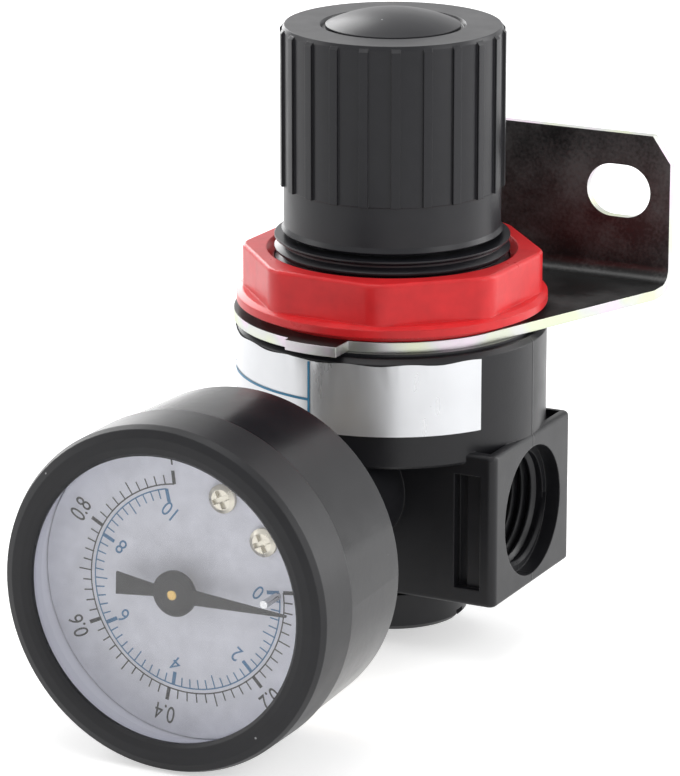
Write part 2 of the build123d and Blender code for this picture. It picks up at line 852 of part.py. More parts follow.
def make_dial_screws():
    """Two cross-head screws that hold the dial to the works."""
    screws = []
    for x, y in dial_screw_at:
        screw = disc(dial_screw_r, frame_front_reach + frame_plate_t, dial_reach)
        screw += turned(
            (0, dial_reach),
            (dial_screw_head_r, dial_reach),
            (dial_screw_head_r, dial_reach + dial_screw_head_t * 0.6),
            (dial_screw_head_r * 0.7, dial_reach + dial_screw_head_t),
            (0, dial_reach + dial_screw_head_t),
        )
        top = dial_reach + dial_screw_head_t
        half_span = dial_screw_cross_span / 2
        half_w = dial_screw_cross_w / 2
        deep = (top - dial_screw_cross_depth, top)
        cross = block((-half_span, half_span), (-half_w, half_w), deep)
        cross += block((-half_w, half_w), (-half_span, half_span), deep)
        screw -= Rot(0, 0, dial_screw_turn_deg) * cross
        screws.append(to_front(Pos(x, y, 0) * screw))
    return Compound(children=screws)


def make_stop_pin():
    """Pin in the dial that stops the pointer at zero."""
    x, y = stop_pin_at
    return to_front(Pos(x, y, 0) * disc(stop_pin_r, dial_reach, dial_reach + stop_pin_length))


def make_pointer():
    """Pointer with a long thin blade, a broad tail and a round hub."""
    stations = (
        (-pointer_tail, pointer_tail_w),
        (-pointer_hub_r, pointer_waist_w),
        (pointer_hub_r, pointer_root_w),
        (pointer_tip, pointer_tip_w),
    )
    upper = [(x, width / 2) for x, width in stations]
    lower = [(x, -width / 2) for x, width in reversed(stations)]
    blade = make_face(Polyline(*upper, *lower, close=True))
    solid = Pos(0, 0, pointer_reach) * extrude(blade, pointer_t)
    low = pointer_reach - pointer_t
    solid += turned(
        (0, low),
        (pointer_hub_r, low),
        (pointer_hub_r, pointer_reach + pointer_t),
        (pointer_hub_r * 0.7, low + pointer_hub_t),
        (0, low + pointer_hub_t),
    )
    solid -= disc(arbor_r, low, low + pointer_hub_t)
    return to_front(Rot(0, 0, pointer_rest_deg) * solid)


def toothed(teeth, count, thickness, first=0):
    """Flat gear blank with straight-sided teeth, some or all of them cut."""
    pitch_r = gear_module * teeth / 2
    root_r = pitch_r - 1.25 * gear_module
    tip_r = pitch_r + 0.85 * gear_module
    pitch = pi * gear_module
    outline = Polyline(
        (root_r - 0.15, -0.3 * pitch),
        (pitch_r, -0.2 * pitch),
        (tip_r, -0.1 * pitch),
        (tip_r, 0.1 * pitch),
        (pitch_r, 0.2 * pitch),
        (root_r - 0.15, 0.3 * pitch),
        close=True,
    )
    tooth = extrude(make_face(outline), thickness)
    turns = [360 * (first + index) / teeth for index in range(count)]
    return [Rot(0, 0, turn) * tooth for turn in turns]


def make_spindle():
    """Pointer arbor with its pinion."""
    arbor_end = pointer_reach - pointer_t + pointer_hub_t + arbor_end_gap
    pin = disc(arbor_r, frame_back_reach + arbor_end_gap, arbor_end)
    root_r = pinion_pitch_r - 1.25 * gear_module
    pinion_low = gear_reach - (pinion_t - sector_t) / 2
    pin += disc(root_r, pinion_low, pinion_low + pinion_t)
    for tooth in toothed(pinion_teeth, pinion_teeth, pinion_t):
        pin += Pos(0, 0, pinion_low) * Rot(0, 0, sector_place_deg) * tooth
    return to_front(pin)


def sector_centre():
    """Place of the sector's arbor beside the pointer arbor."""
    distance = pinion_pitch_r + sector_pitch_r
    angle = radians(sector_place_deg)
    return distance * cos(angle), distance * sin(angle)


def make_sector():
    """Toothed sector with its arbor, its tail and the pin for the link."""
    root_r = sector_pitch_r - 1.25 * gear_module
    half_teeth = sector_cut_teeth / 2
    spread = 360 * half_teeth / sector_teeth
    wedge = Polyline(
        (0, 0),
        (2 * root_r * cos(radians(spread)), -2 * root_r * sin(radians(spread))),
        (2 * root_r * cos(radians(spread)), 2 * root_r * sin(radians(spread))),
        close=True,
    )
    blank = extrude(Circle(root_r) & make_face(wedge), sector_t)
    blank += disc(sector_hub_r, 0, sector_t)
    blank += block((-sector_tail, 0), (-link_w / 2, link_w / 2), (0, sector_t))
    blank += Pos(-sector_tail, 0, 0) * disc(link_w / 2, 0, sector_t)
    blank += Pos(-sector_tail, 0, 0) * disc(link_pin_r, -link_t - link_gap, 0)
    half_step = 180 / sector_teeth
    first = -(sector_cut_teeth // 2)
    for tooth in toothed(sector_teeth, sector_cut_teeth - 1, sector_t, first):
        blank += Rot(0, 0, half_step) * tooth
    sector = Pos(0, 0, gear_reach) * Rot(0, 0, sector_start_deg()) * blank
    low = frame_back_reach + arbor_end_gap
    sector += disc(arbor_r, low, frame_front_reach + frame_plate_t - arbor_end_gap)
    x, y = sector_centre()
    return to_front(Pos(x, y, 0) * sector)


def sector_start_deg():
    """Angle of the sector at zero pressure: one end of its teeth meets the pinion."""
    half_travel = pointer_sweep_deg / 2 * pinion_teeth / sector_teeth
    whole_teeth = round(half_travel * sector_teeth / 360)
    return sector_place_deg + 180 - whole_teeth * 360 / sector_teeth


def link_pin():
    """Place of the pin in the sector's tail at rest."""
    x, y = sector_centre()
    angle = radians(sector_start_deg() + 180)
    return x + sector_tail * cos(angle), y + sector_tail * sin(angle)


def make_link():
    """Link from the sector's tail to the free end of the tube."""
    x0, y0 = link_pin()
    end = radians(tube_from_deg + tube_sweep_deg - 3)
    x1, y1 = tube_r * cos(end), tube_r * sin(end)
    low = gear_reach - link_t - link_gap
    line = Line((x0, y0), (x1, y1))
    middle = line @ 0.5
    direction = line % 0.5
    turn = direction.get_angle(Vector(1, 0, 0)) * (1 if direction.Y > 0 else -1)
    plate = Pos(middle.X, middle.Y, low) * Rot(0, 0, turn) * extrude(
        SlotCenterToCenter(line.length, link_w), link_t
    )
    plate -= Pos(x0, y0, 0) * disc(link_pin_r + fit_gap, low, low + link_t)
    return to_front(plate)


def make_movement_frame():
    """Two plates on pillars, with two posts that carry the dial."""
    hole_r = arbor_r + fit_gap
    back = disc(frame_plate_r, frame_back_reach, frame_back_reach + frame_plate_t)
    front = disc(frame_plate_r, frame_front_reach, frame_front_reach + frame_plate_t)
    for x, y in dial_screw_at:
        tip = Pos(x, y) * Circle(arm_tip_r)
        arm = make_hull([*tip.edges(), *Circle(arm_root_r).edges()])
        front += Pos(0, 0, frame_front_reach) * extrude(arm, frame_plate_t)
    frame = back + front
    for angle in pillar_angles:
        place = Rot(0, 0, angle) * Pos(pillar_place_r, 0, 0)
        frame += place * disc(pillar_r, frame_back_reach, frame_front_reach + frame_plate_t)
    post_low = frame_front_reach + frame_plate_t
    for x, y in dial_screw_at:
        post = disc(post_r, post_low, dial_reach - dial_t, dial_screw_r + fit_gap)
        frame += Pos(x, y, 0) * post
    top = frame_front_reach + frame_plate_t
    frame -= disc(hole_r, frame_back_reach, top)
    x, y = sector_centre()
    frame -= Pos(x, y, 0) * disc(hole_r, frame_back_reach, top)
    return to_front(frame)


def make_bourdon_tube():
    """Bourdon tube."""
    return to_front(tube_ring())


def make_range_spring():
    """Range spring between the upper plate and the seat nut."""
    return coil(spring_mean_r, spring_wire_r, spring_seat_z, seat_nut_bottom_z, spring_turns)


def make_valve_spring():
    """Spring that closes the valve."""
    return coil(
        valve_spring_mean_r,
        valve_spring_wire_r,
        plug_pocket_z,
        poppet_bottom_z,
        valve_spring_turns,
    )


NODES = {
    "body": make_body,
    "bonnet": make_bonnet,
    "knob": make_knob,
    "panel_nut": make_panel_nut,
    "mounting_bracket": make_bracket,
    "label": make_label,
    "adjusting_screw": make_adjusting_screw,
    "thrust_washer": make_thrust_washer,
    "spring_seat_nut": make_spring_seat_nut,
    "range_spring": make_range_spring,
    "diaphragm": make_diaphragm,
    "diaphragm_upper_plate": make_upper_plate,
    "diaphragm_lower_plate": make_lower_plate,
    "relief_seat": make_relief_seat,
    "valve_stem": make_valve_stem,
    "poppet_seal": make_poppet_seal,
    "valve_spring": make_valve_spring,
    "bottom_plug": make_bottom_plug,
    "plug_o_ring": make_plug_ring,
    "rear_port_plug": make_rear_plug,
    "gauge_socket": make_gauge_socket,
    "gauge_case": make_gauge_case,
    "gauge_bezel": make_bezel,
    "gauge_lens": make_lens,
    "lens_gasket": make_lens_gasket,
    "gauge_dial": make_dial,
    "dial_screws": make_dial_screws,
    "stop_pin": make_stop_pin,
    "pointer": make_pointer,
    "pointer_spindle": make_spindle,
    "sector_gear": make_sector,
    "movement_link": make_link,
    "movement_frame": make_movement_frame,
    "bourdon_tube": make_bourdon_tube,
}

os.makedirs("parts", exist_ok=True)
origin = Pos(0, -(plate_front_y + plate_t), -slot_z)
for name, make in NODES.items():
    export_step(origin * make(), "parts/" + name + ".step")
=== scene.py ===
"""Looks of the compressed-air regulator: finishes, dial print, port threads and foil label round its CAD model."""

import json
import math
import random

import bmesh
import bpy
from bpy.props import FloatProperty, FloatVectorProperty, IntProperty, PointerProperty
from mathutils import Matrix, Vector


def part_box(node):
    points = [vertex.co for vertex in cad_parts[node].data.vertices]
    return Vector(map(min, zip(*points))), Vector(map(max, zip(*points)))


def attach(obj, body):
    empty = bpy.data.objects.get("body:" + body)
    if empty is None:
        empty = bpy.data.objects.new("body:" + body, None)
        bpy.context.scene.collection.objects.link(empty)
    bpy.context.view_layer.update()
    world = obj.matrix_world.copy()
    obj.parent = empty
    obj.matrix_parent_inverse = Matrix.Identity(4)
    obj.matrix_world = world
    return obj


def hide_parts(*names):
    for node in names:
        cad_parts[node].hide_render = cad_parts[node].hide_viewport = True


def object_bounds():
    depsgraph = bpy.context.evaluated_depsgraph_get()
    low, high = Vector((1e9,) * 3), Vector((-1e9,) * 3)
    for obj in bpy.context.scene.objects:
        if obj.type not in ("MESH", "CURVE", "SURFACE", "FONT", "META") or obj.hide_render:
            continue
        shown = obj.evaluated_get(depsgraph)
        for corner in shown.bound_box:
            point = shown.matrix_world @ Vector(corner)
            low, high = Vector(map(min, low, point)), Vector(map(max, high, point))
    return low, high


bl_info = {
    "name": "Pressure regulator looks",
    "version": (1, 0, 0),
    "blender": (4, 5, 0),
    "location": "3D View > Sidebar > Regulator",
    "description": "Finishes, dial print, threads, label and studio of a small air pressure regulator",
    "category": "Object",
}

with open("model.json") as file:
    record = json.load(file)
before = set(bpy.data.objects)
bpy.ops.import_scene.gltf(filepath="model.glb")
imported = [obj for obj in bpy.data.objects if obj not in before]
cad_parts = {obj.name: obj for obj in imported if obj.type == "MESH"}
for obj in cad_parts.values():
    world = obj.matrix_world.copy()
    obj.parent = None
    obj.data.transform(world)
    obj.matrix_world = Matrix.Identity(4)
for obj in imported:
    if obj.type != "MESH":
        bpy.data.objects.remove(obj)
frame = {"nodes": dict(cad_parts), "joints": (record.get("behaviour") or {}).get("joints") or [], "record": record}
NODES = frame["nodes"]
MOUNTS = {mount["name"]: mount for mount in frame["record"]["mounts"]}
JOINTS = {joint["name"]: joint for joint in frame["joints"]}
CAD_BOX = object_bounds()

MM = 0.001
PORT_Z = MOUNTS["outlet_port"]["pos_m"][2]
AXIS_Y = MOUNTS["outlet_port"]["pos_m"][1]
GAUGE_Z = JOINTS["pointer_turn"]["pos_m"][2]
DIAL_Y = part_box("gauge_dial")[0].y
LABEL_LOW, LABEL_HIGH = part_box("label")
LABEL_R = AXIS_Y - LABEL_LOW.y


def colour_prop(name, value, about):
    """Colour property of one finish, in linear values."""
    return FloatVectorProperty(
        name=name, description=about, subtype="COLOR", size=3, min=0, max=1, default=value
    )


def length_prop(name, value, about):
    """Length property, stored in metres."""
    return FloatProperty(name=name, description=about, unit="LENGTH", precision=5, default=value)


def angle_prop(name, degrees, about):
    """Angle property, given here in degrees."""
    return FloatProperty(name=name, description=about, subtype="ANGLE", default=math.radians(degrees))


class RegulatorColours(bpy.types.PropertyGroup):
    """Colours of the finishes."""

    casting: colour_prop("Casting", (0.009, 0.009, 0.011), "Satin black paint on the body")
    knob: colour_prop("Knob", (0.011, 0.011, 0.014), "Moulded black of the knob and bonnet")
    gauge: colour_prop("Gauge", (0.009, 0.009, 0.011), "Black enamel of the gauge case")
    nut: colour_prop("Nut", (0.72, 0.022, 0.026), "Moulded red of the panel nut")
    # Zinc is painted dark. Its low value stands in for the dark surroundings that the bright plating would reflect,
    # because the studio's reflections are all white. Zinc cloud sits at the same painted darkness and varies it at
    # random.
    zinc: colour_prop("Zinc", (0.05, 0.05, 0.05), "Dark bright zinc of the bracket's faces")
    zinc_cloud: colour_prop("Zinc cloud", (0.12, 0.121, 0.12), "Paler clouds in the zinc")
    # Cut edge is a painted highlight. The pale colour stands in for the light that the bracket's cut edges catch.
    zinc_edge_highlight: colour_prop("Cut edge", (0.6, 0.61, 0.6), "Bright cut edges of the bracket")
    foil: colour_prop("Foil", (0.66, 0.67, 0.69), "Silver of the label")
    rule: colour_prop("Rule", (0.05, 0.24, 0.42), "Blue of the label's rules")
    dial: colour_prop("Dial", (0.78, 0.79, 0.88), "Cool white of the dial")
    outer_scale: colour_prop("Outer scale", (0.03, 0.028, 0.03), "Near black of the outer scale")
    inner_scale: colour_prop("Inner scale", (0.06, 0.2, 0.4), "Blue of the inner scale")
    pointer: colour_prop("Pointer", (0.03, 0.03, 0.033), "Dark grey of the pointer")
    brass: colour_prop("Brass", (0.65, 0.44, 0.16), "Turned brass of the works")
    steel: colour_prop("Steel", (0.45, 0.45, 0.46), "Plain steel of inner parts")
    screw: colour_prop("Dial screws", (0.72, 0.68, 0.58), "Ivory plating of the dial's screws")
    rubber: colour_prop("Rubber", (0.02, 0.02, 0.02), "Black rubber")


class DialPrint(bpy.types.PropertyGroup):
    """Sizes of the printed scales."""

    zero: angle_prop("Zero", 6.8, "Direction of zero, anticlockwise from the right")
    sweep: angle_prop("Sweep", 270.0, "Sweep of the outer scale from zero to one")
    inner_share: FloatProperty(
        name="Inner unit", description="One unit of the inner scale on the outer scale", default=0.0980665
    )
    drop: length_prop("Drop", 0.0004, "How far the print sits below the gauge's axis")
    outer_r: length_prop("Outer line", 0.013, "Radius of the outer scale's line")
    inner_r: length_prop("Inner line", 0.01245, "Radius of the inner scale's line")
    line: length_prop("Line width", 0.00016, "Width of the lines and fine ticks")
    thick: length_prop("Thick tick", 0.00046, "Width of the numbered ticks")
    short_tick: length_prop("Short tick", 0.00115, "Length of the fine ticks")
    mid_tick: length_prop("Middle tick", 0.00165, "Length of the half-way ticks")
    outer_text_r: length_prop("Outer numbers", 0.0163, "Radius of the outer numbers' middles")
    inner_text_r: length_prop("Inner numbers", 0.0097, "Radius of the inner numbers' middles")
    outer_text: length_prop("Outer number size", 0.0031, "Size of the outer numbers")
    inner_text: length_prop("Inner number size", 0.0028, "Size of the inner numbers")
    art_turn: angle_prop("Art turn", 142.0, "Turn of the whole dial, which the inner numbers follow")


class RegulatorDetail(bpy.types.PropertyGroup):
    """Sizes of the small pieces added to the model."""

    port_pitch: length_prop("Port pitch", 0.001337, "Pitch of the port threads")
    port_depth: length_prop("Port thread depth", 0.00062, "Height of the port threads' turns")
    port_from: length_prop("Port threads from", 0.0112, "Where the port threads start, from the middle")
    port_to: length_prop("Port threads to", 0.0179, "Where the port threads end, from the middle")
    label_ripple: length_prop("Label ripple", 0.00006, "Height of the foil's ripples")
    rule_from: angle_prop("Upright rule", -95.3, "Direction of the label's upright rule")
    rule_height: length_prop("Level rule", -0.01905, "Height of the label's level rule")
    rule_width: length_prop("Rule width", 0.0003, "Width of the label's rules")


class StudioSettings(bpy.types.PropertyGroup):
    """Camera and light."""

    azimuth: angle_prop("Azimuth", 26.65, "Camera direction, anticlockwise from the gauge side")
    elevation: angle_prop("Elevation", 16.42, "Camera height angle")
    distance: length_prop("Distance", 0.59787, "Camera distance from the point it looks at")
    focal: FloatProperty(name="Focal length", description="Lens in millimetres", default=216.13)
    aim: FloatVectorProperty(
        name="Aim", description="Point the camera looks at", size=3, subtype="XYZ", default=(-0.005943, -0.030283, -0.02255)
    )
    sky: FloatProperty(name="Sky", description="Strength of the studio's even light", default=0.5)
    seed: IntProperty(name="Seed", description="Seed of the foil's ripples", default=7)


def settings():
    """Property groups of the open scene."""
    return bpy.context.scene.regulator


# Node groups that several finishes share


def new_group(name, inputs, outputs):
    """Empty shader node group with named sockets."""
    group = bpy.data.node_groups.new(name, "ShaderNodeTree")
    for label, kind, value in inputs:
        socket = group.interface.new_socket(label, in_out="INPUT", socket_type=kind)
        socket.default_value = value
    for label, kind in outputs:
        group.interface.new_socket(label, in_out="OUTPUT", socket_type=kind)
    start = group.nodes.new("NodeGroupInput")
    end = group.nodes.new("NodeGroupOutput")
    return group, start, end


def math_node(tree, operation, first, second=None, third=None):
    """Math node whose inputs are sockets or numbers; gives its output socket."""
    node = tree.nodes.new("ShaderNodeMath")
    node.operation = operation
    for index, value in enumerate((first, second, third)):
        if value is None:
            continue
        if isinstance(value, bpy.types.NodeSocket):
            tree.links.new(value, node.inputs[index])
        else:
            node.inputs[index].default_value = value
    return node.outputs[0]


def noise_node(tree, scale, detail=3.0, stretch=None):
    """Noise on object coordinates, stretched along an axis if asked; gives its factor."""
    place = tree.nodes.new("ShaderNodeTexCoord")
    source = place.outputs["Object"]
    if stretch:
        mapping = tree.nodes.new("ShaderNodeMapping")
        mapping.inputs["Scale"].default_value = stretch
        tree.links.new(source, mapping.inputs["Vector"])
        source = mapping.outputs["Vector"]
    noise = tree.nodes.new("ShaderNodeTexNoise")
    noise.inputs["Detail"].default_value = detail
    if isinstance(scale, bpy.types.NodeSocket):
        tree.links.new(scale, noise.inputs["Scale"])
    else:
        noise.inputs["Scale"].default_value = scale
    tree.links.new(source, noise.inputs["Vector"])
    return noise.outputs["Fac"]


def span(tree, value, low, high, to_low=0.0, to_high=1.0):
    """Map Range node, clamped."""
    node = tree.nodes.new("ShaderNodeMapRange")
    for index, number in enumerate((low, high, to_low, to_high), start=1):
        node.inputs[index].default_value = number
    tree.links.new(value, node.inputs[0])
    return node.outputs[0]


def blend_colours(tree, factor, first, second):
    """Mix of two colours, each a socket or a value."""
    node = tree.nodes.new("ShaderNodeMix")
    node.data_type = "RGBA"
    for socket, value in ((node.inputs[0], factor), (node.inputs[6], first), (node.inputs[7], second)):
        if isinstance(value, bpy.types.NodeSocket):
            tree.links.new(value, socket)
        elif socket is node.inputs[0]:
            socket.default_value = value
        else:
            socket.default_value = (*value, 1.0) if len(value) == 3 else value
    return node.outputs[2]


def grain_group():
    """Fine moulded or cast grain: a height for the bump and a small change of roughness."""
    group, start, end = new_group(
        "Moulded grain",
        [("Scale", "NodeSocketFloat", 5000.0), ("Roughness", "NodeSocketFloat", 0.4), ("Spread", "NodeSocketFloat", 0.08)],
        [("Height", "NodeSocketFloat"), ("Roughness", "NodeSocketFloat")],
    )
    fine = noise_node(group, start.outputs["Scale"], 2.0)
    broad = noise_node(group, 260.0, 4.0)
    shift = math_node(group, "SUBTRACT", broad, 0.5)
    shift = math_node(group, "MULTIPLY", shift, start.outputs["Spread"])
    rough = math_node(group, "ADD", shift, start.outputs["Roughness"])
    group.links.new(fine, end.inputs["Height"])
    group.links.new(rough, end.inputs["Roughness"])
    return group


def dust_group():
    """Sparse pale specks of dust and nicks."""
    group, start, end = new_group(
        "Dust specks",
        [("Spacing", "NodeSocketFloat", 260.0), ("Size", "NodeSocketFloat", 0.05), ("Share", "NodeSocketFloat", 0.35)],
        [("Mask", "NodeSocketFloat")],
    )
    place = group.nodes.new("ShaderNodeTexCoord")
    cells = group.nodes.new("ShaderNodeTexVoronoi")
    group.links.new(place.outputs["Object"], cells.inputs["Vector"])
    group.links.new(start.outputs["Spacing"], cells.inputs["Scale"])
    parts = group.nodes.new("ShaderNodeSeparateColor")
    group.links.new(cells.outputs["Color"], parts.inputs["Color"])
    size = math_node(group, "MULTIPLY", start.outputs["Size"], parts.outputs["Green"])
    near = math_node(group, "LESS_THAN", cells.outputs["Distance"], size)
    chosen = math_node(group, "LESS_THAN", parts.outputs["Red"], start.outputs["Share"])
    group.links.new(math_node(group, "MULTIPLY", near, chosen), end.inputs["Mask"])
    return group


def cloud_group():
    """Cloudy, lightly scratched plating: a mask of pale clouds, a height and a roughness."""
    group, start, end = new_group(
        "Cloudy plating",
        [("Clouds", "NodeSocketFloat", 110.0), ("Streaks", "NodeSocketFloat", 900.0), ("Roughness", "NodeSocketFloat", 0.22)],
        [("Mask", "NodeSocketFloat"), ("Height", "NodeSocketFloat"), ("Roughness", "NodeSocketFloat")],
    )
    clouds = noise_node(group, start.outputs["Clouds"], 6.0)
    streaks = noise_node(group, start.outputs["Streaks"], 2.0, (0.12, 0.12, 1.0))
    mottle = noise_node(group, 2600.0, 3.0)
    mixed = math_node(group, "ADD", math_node(group, "MULTIPLY", clouds, 0.7), math_node(group, "MULTIPLY", mottle, 0.3))
    mask = span(group, mixed, 0.42, 0.66)
    rough = math_node(group, "ADD", start.outputs["Roughness"], math_node(group, "MULTIPLY", mask, 0.22))
    height = math_node(group, "ADD", math_node(group, "MULTIPLY", streaks, 0.6), math_node(group, "MULTIPLY", mottle, 0.4))
    group.links.new(mask, end.inputs["Mask"])
    group.links.new(height, end.inputs["Height"])
    group.links.new(rough, end.inputs["Roughness"])
    return group


def turning_group():
    """Fine rings left by turning, as a height."""
    group, start, end = new_group(
        "Turning marks", [("Spacing", "NodeSocketFloat", 5200.0)], [("Height", "NodeSocketFloat")]
    )
    group.links.new(noise_node(group, start.outputs["Spacing"], 2.0, (0.3, 1.0, 0.3)), end.inputs["Height"])
    return group


GROUP_MAKERS = {
    "Moulded grain": grain_group,
    "Dust specks": dust_group,
    "Cloudy plating": cloud_group,
    "Turning marks": turning_group,
}


def use_group(tree, name, **values):
    """Node that places a shared group, which is made the first time."""
    group = bpy.data.node_groups.get(name) or GROUP_MAKERS[name]()
    node = tree.nodes.new("ShaderNodeGroup")
    node.node_tree = group
    for label, value in values.items():
        node.inputs[label].default_value = value
    return node


def new_finish(name, colour, roughness, metallic=0.0):
    """Material with a Principled shader; gives the material, its tree and the shader."""
    material = bpy.data.materials.new(name)
    material.use_nodes = True
    tree = material.node_tree
    shader = tree.nodes["Principled BSDF"]
    shader.inputs["Base Color"].default_value = (*colour, 1.0)
    shader.inputs["Roughness"].default_value = roughness
    shader.inputs["Metallic"].default_value = metallic
    return material, tree, shader


def bump(tree, shader, height, depth, edge=0.0):
    """Bump of a real depth in metres, over edges rounded by a small radius."""
    node = tree.nodes.new("ShaderNodeBump")
    node.inputs["Strength"].default_value = 1.0
    node.inputs["Distance"].default_value = depth
    tree.links.new(height, node.inputs["Height"])
    if edge:
        rounded = tree.nodes.new("ShaderNodeBevel")
        rounded.samples = 4
        rounded.inputs["Radius"].default_value = edge
        tree.links.new(rounded.outputs["Normal"], node.inputs["Normal"])
    tree.links.new(node.outputs["Normal"], shader.inputs["Normal"])


def moulded(name, colour, roughness, grain=5000.0, depth=0.000004, edge=0.00015, dust=0.3, spread=0.1):
    """Black or coloured moulded plastic or paint: grain, soft edges and a little dust."""
    material, tree, shader = new_finish(name, colour, roughness)
    shader.inputs["Specular IOR Level"].default_value = 0.32
    surface = use_group(tree, "Moulded grain", Scale=grain, Roughness=roughness, Spread=spread)
    tree.links.new(surface.outputs["Roughness"], shader.inputs["Roughness"])
    specks = use_group(tree, "Dust specks", Share=dust)
    pale = tuple(min(1.0, value * 2 + 0.3) for value in colour)
    shade = noise_node(tree, 420.0, 3.0)
    darker = tuple(value * 0.8 for value in colour)
    lighter = tuple(min(1.0, value * 1.15 + 0.002) for value in colour)
    base = blend_colours(tree, shade, darker, lighter)
    tree.links.new(blend_colours(tree, specks.outputs["Mask"], base, pale), shader.inputs["Base Color"])
    bump(tree, shader, surface.outputs["Height"], depth, edge)
    return material


def metal(name, colour, roughness, depth=0.000003):
    """Turned or drawn metal with fine rings and a little unevenness."""
    material, tree, shader = new_finish(name, colour, roughness, 1.0)
    rings = use_group(tree, "Turning marks")
    shade = noise_node(tree, 700.0, 3.0)
    tree.links.new(blend_colours(tree, shade, tuple(v * 0.75 for v in colour), colour), shader.inputs["Base Color"])
    tree.links.new(span(tree, shade, 0.3, 0.7, roughness * 0.8, roughness * 1.3), shader.inputs["Roughness"])
    bump(tree, shader, rings.outputs["Height"], depth, 0.0001)
    return material


def coat(material, *names):
    """Gives CAD nodes a finish."""
    for name in names:
        mesh_slots = NODES[name].data.materials
        mesh_slots.clear()
        mesh_slots.append(material)


def piece(name, mesh, material, body):
    """New object of the part from a mesh, riding on a body."""
    thing = bpy.data.objects.new(name, mesh)
    bpy.context.scene.collection.objects.link(thing)
    mesh.materials.append(material)
    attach(thing, body)
    return thing


def sheet_mesh(name, rows, smooth=True):
    """Mesh from a grid of points, row by row."""
    mesh = bmesh.new()
    grid = [[mesh.verts.new(point) for point in row] for row in rows]
    for upper, lower in zip(grid, grid[1:]):
        for index in range(len(upper) - 1):
            mesh.faces.new((upper[index], upper[index + 1], lower[index + 1], lower[index]))
    data = bpy.data.meshes.new(name)
    mesh.to_mesh(data)
    mesh.free()
    if smooth:
        for face in data.polygons:
            face.use_smooth = True
    return data


class REGULATOR_OT_studio(bpy.types.Operator):
    """Camera, floor and soft white studio light"""

    bl_idname = "regulator.studio"
    bl_label = "Studio"

    def execute(self, context):
        """Makes the stage."""
        stage = settings().studio
        self.camera(context, stage)
        self.floor(context)
        self.light(context, stage)
        context.scene.view_settings.view_transform = "Standard"
        return {"FINISHED"}

    def camera(self, context, stage):
        """Camera at the photograph's place."""
        lens = bpy.data.cameras.new("camera")
        lens.lens = stage.focal
        lens.sensor_width = 36.0
        lens.clip_start = 0.01
        holder = bpy.data.objects.new("camera", lens)
        context.scene.collection.objects.link(holder)
        turn, rise = stage.azimuth, stage.elevation
        back = Vector((math.sin(turn) * math.cos(rise), -math.cos(turn) * math.cos(rise), math.sin(rise)))
        holder.location = Vector(stage.aim) + back * stage.distance
        holder.rotation_euler = (-back).to_track_quat("-Z", "Y").to_euler()
        context.scene.camera = holder

    def floor(self, context):
        """Wide pale floor under the gauge's lowest point."""
        height = CAD_BOX[0].z - 0.00005
        half = 4.0
        rows = [[(x, y, height) for x in (-half, half)] for y in (half, -half)]
        data = sheet_mesh("floor", rows, smooth=False)
        material, tree, shader = new_finish("Pale floor", (0.86, 0.86, 0.86), 0.9)
        shader.inputs["Specular IOR Level"].default_value = 0.1
        seen = self.seen_by_eye(tree)
        glow = tree.nodes.new("ShaderNodeEmission")
        glow.inputs["Color"].default_value = (1.0, 1.0, 1.0, 1.0)
        tree.links.new(math_node(tree, "MULTIPLY", seen, 0.5), glow.inputs["Strength"])
        both = tree.nodes.new("ShaderNodeAddShader")
        tree.links.new(shader.outputs[0], both.inputs[0])
        tree.links.new(glow.outputs[0], both.inputs[1])
        tree.links.new(both.outputs[0], tree.nodes["Material Output"].inputs["Surface"])
        floor = bpy.data.objects.new("floor", data)
        data.materials.append(material)
        context.scene.collection.objects.link(floor)

    def seen_by_eye(self, tree):
        """One for camera, mirror and glass rays."""
        path = tree.nodes.new("ShaderNodeLightPath")
        seen = math_node(tree, "MAXIMUM", path.outputs["Is Camera Ray"], path.outputs["Is Glossy Ray"])
        return math_node(tree, "MAXIMUM", seen, path.outputs["Is Transmission Ray"])

    def light(self, context, stage):
        """White surroundings, two tall side lamps and one overhead."""
        world = bpy.data.worlds.new("white studio")
        world.use_nodes = True
        tree = world.node_tree
        back = tree.nodes["Background"]
        back.inputs["Color"].default_value = (1.0, 1.0, 1.0, 1.0)
        tree.links.new(span(tree, self.seen_by_eye(tree), 0.0, 1.0, stage.sky, 1.0), back.inputs["Strength"])
        context.scene.world = world
        target = (CAD_BOX[0] + CAD_BOX[1]) / 2
        lamps = (
            ("left lamp", (-0.62, -0.25, 0.25), (0.3, 0.6), 1.1),
            ("right lamp", (0.66, -0.1, 0.22), (0.3, 0.6), 1.3),
            ("rear left lamp", (-0.5, 0.42, 0.2), (0.28, 0.7), 2.6),
            ("rear right lamp", (0.5, 0.42, 0.2), (0.28, 0.7), 2.6),
            ("top lamp", (-0.05, -0.1, 0.65), (0.45, 0.45), 1.3),
        )
        for name, place, size, power in lamps:
            lamp = bpy.data.lights.new(name, "AREA")
            lamp.shape = "RECTANGLE"
            lamp.size, lamp.size_y = size
            lamp.energy = power
            holder = bpy.data.objects.new(name, lamp)
            holder.location = place
            holder.visible_camera = False
            holder.rotation_euler = (target - Vector(place)).to_track_quat("-Z", "Y").to_euler()
            context.scene.collection.objects.link(holder)


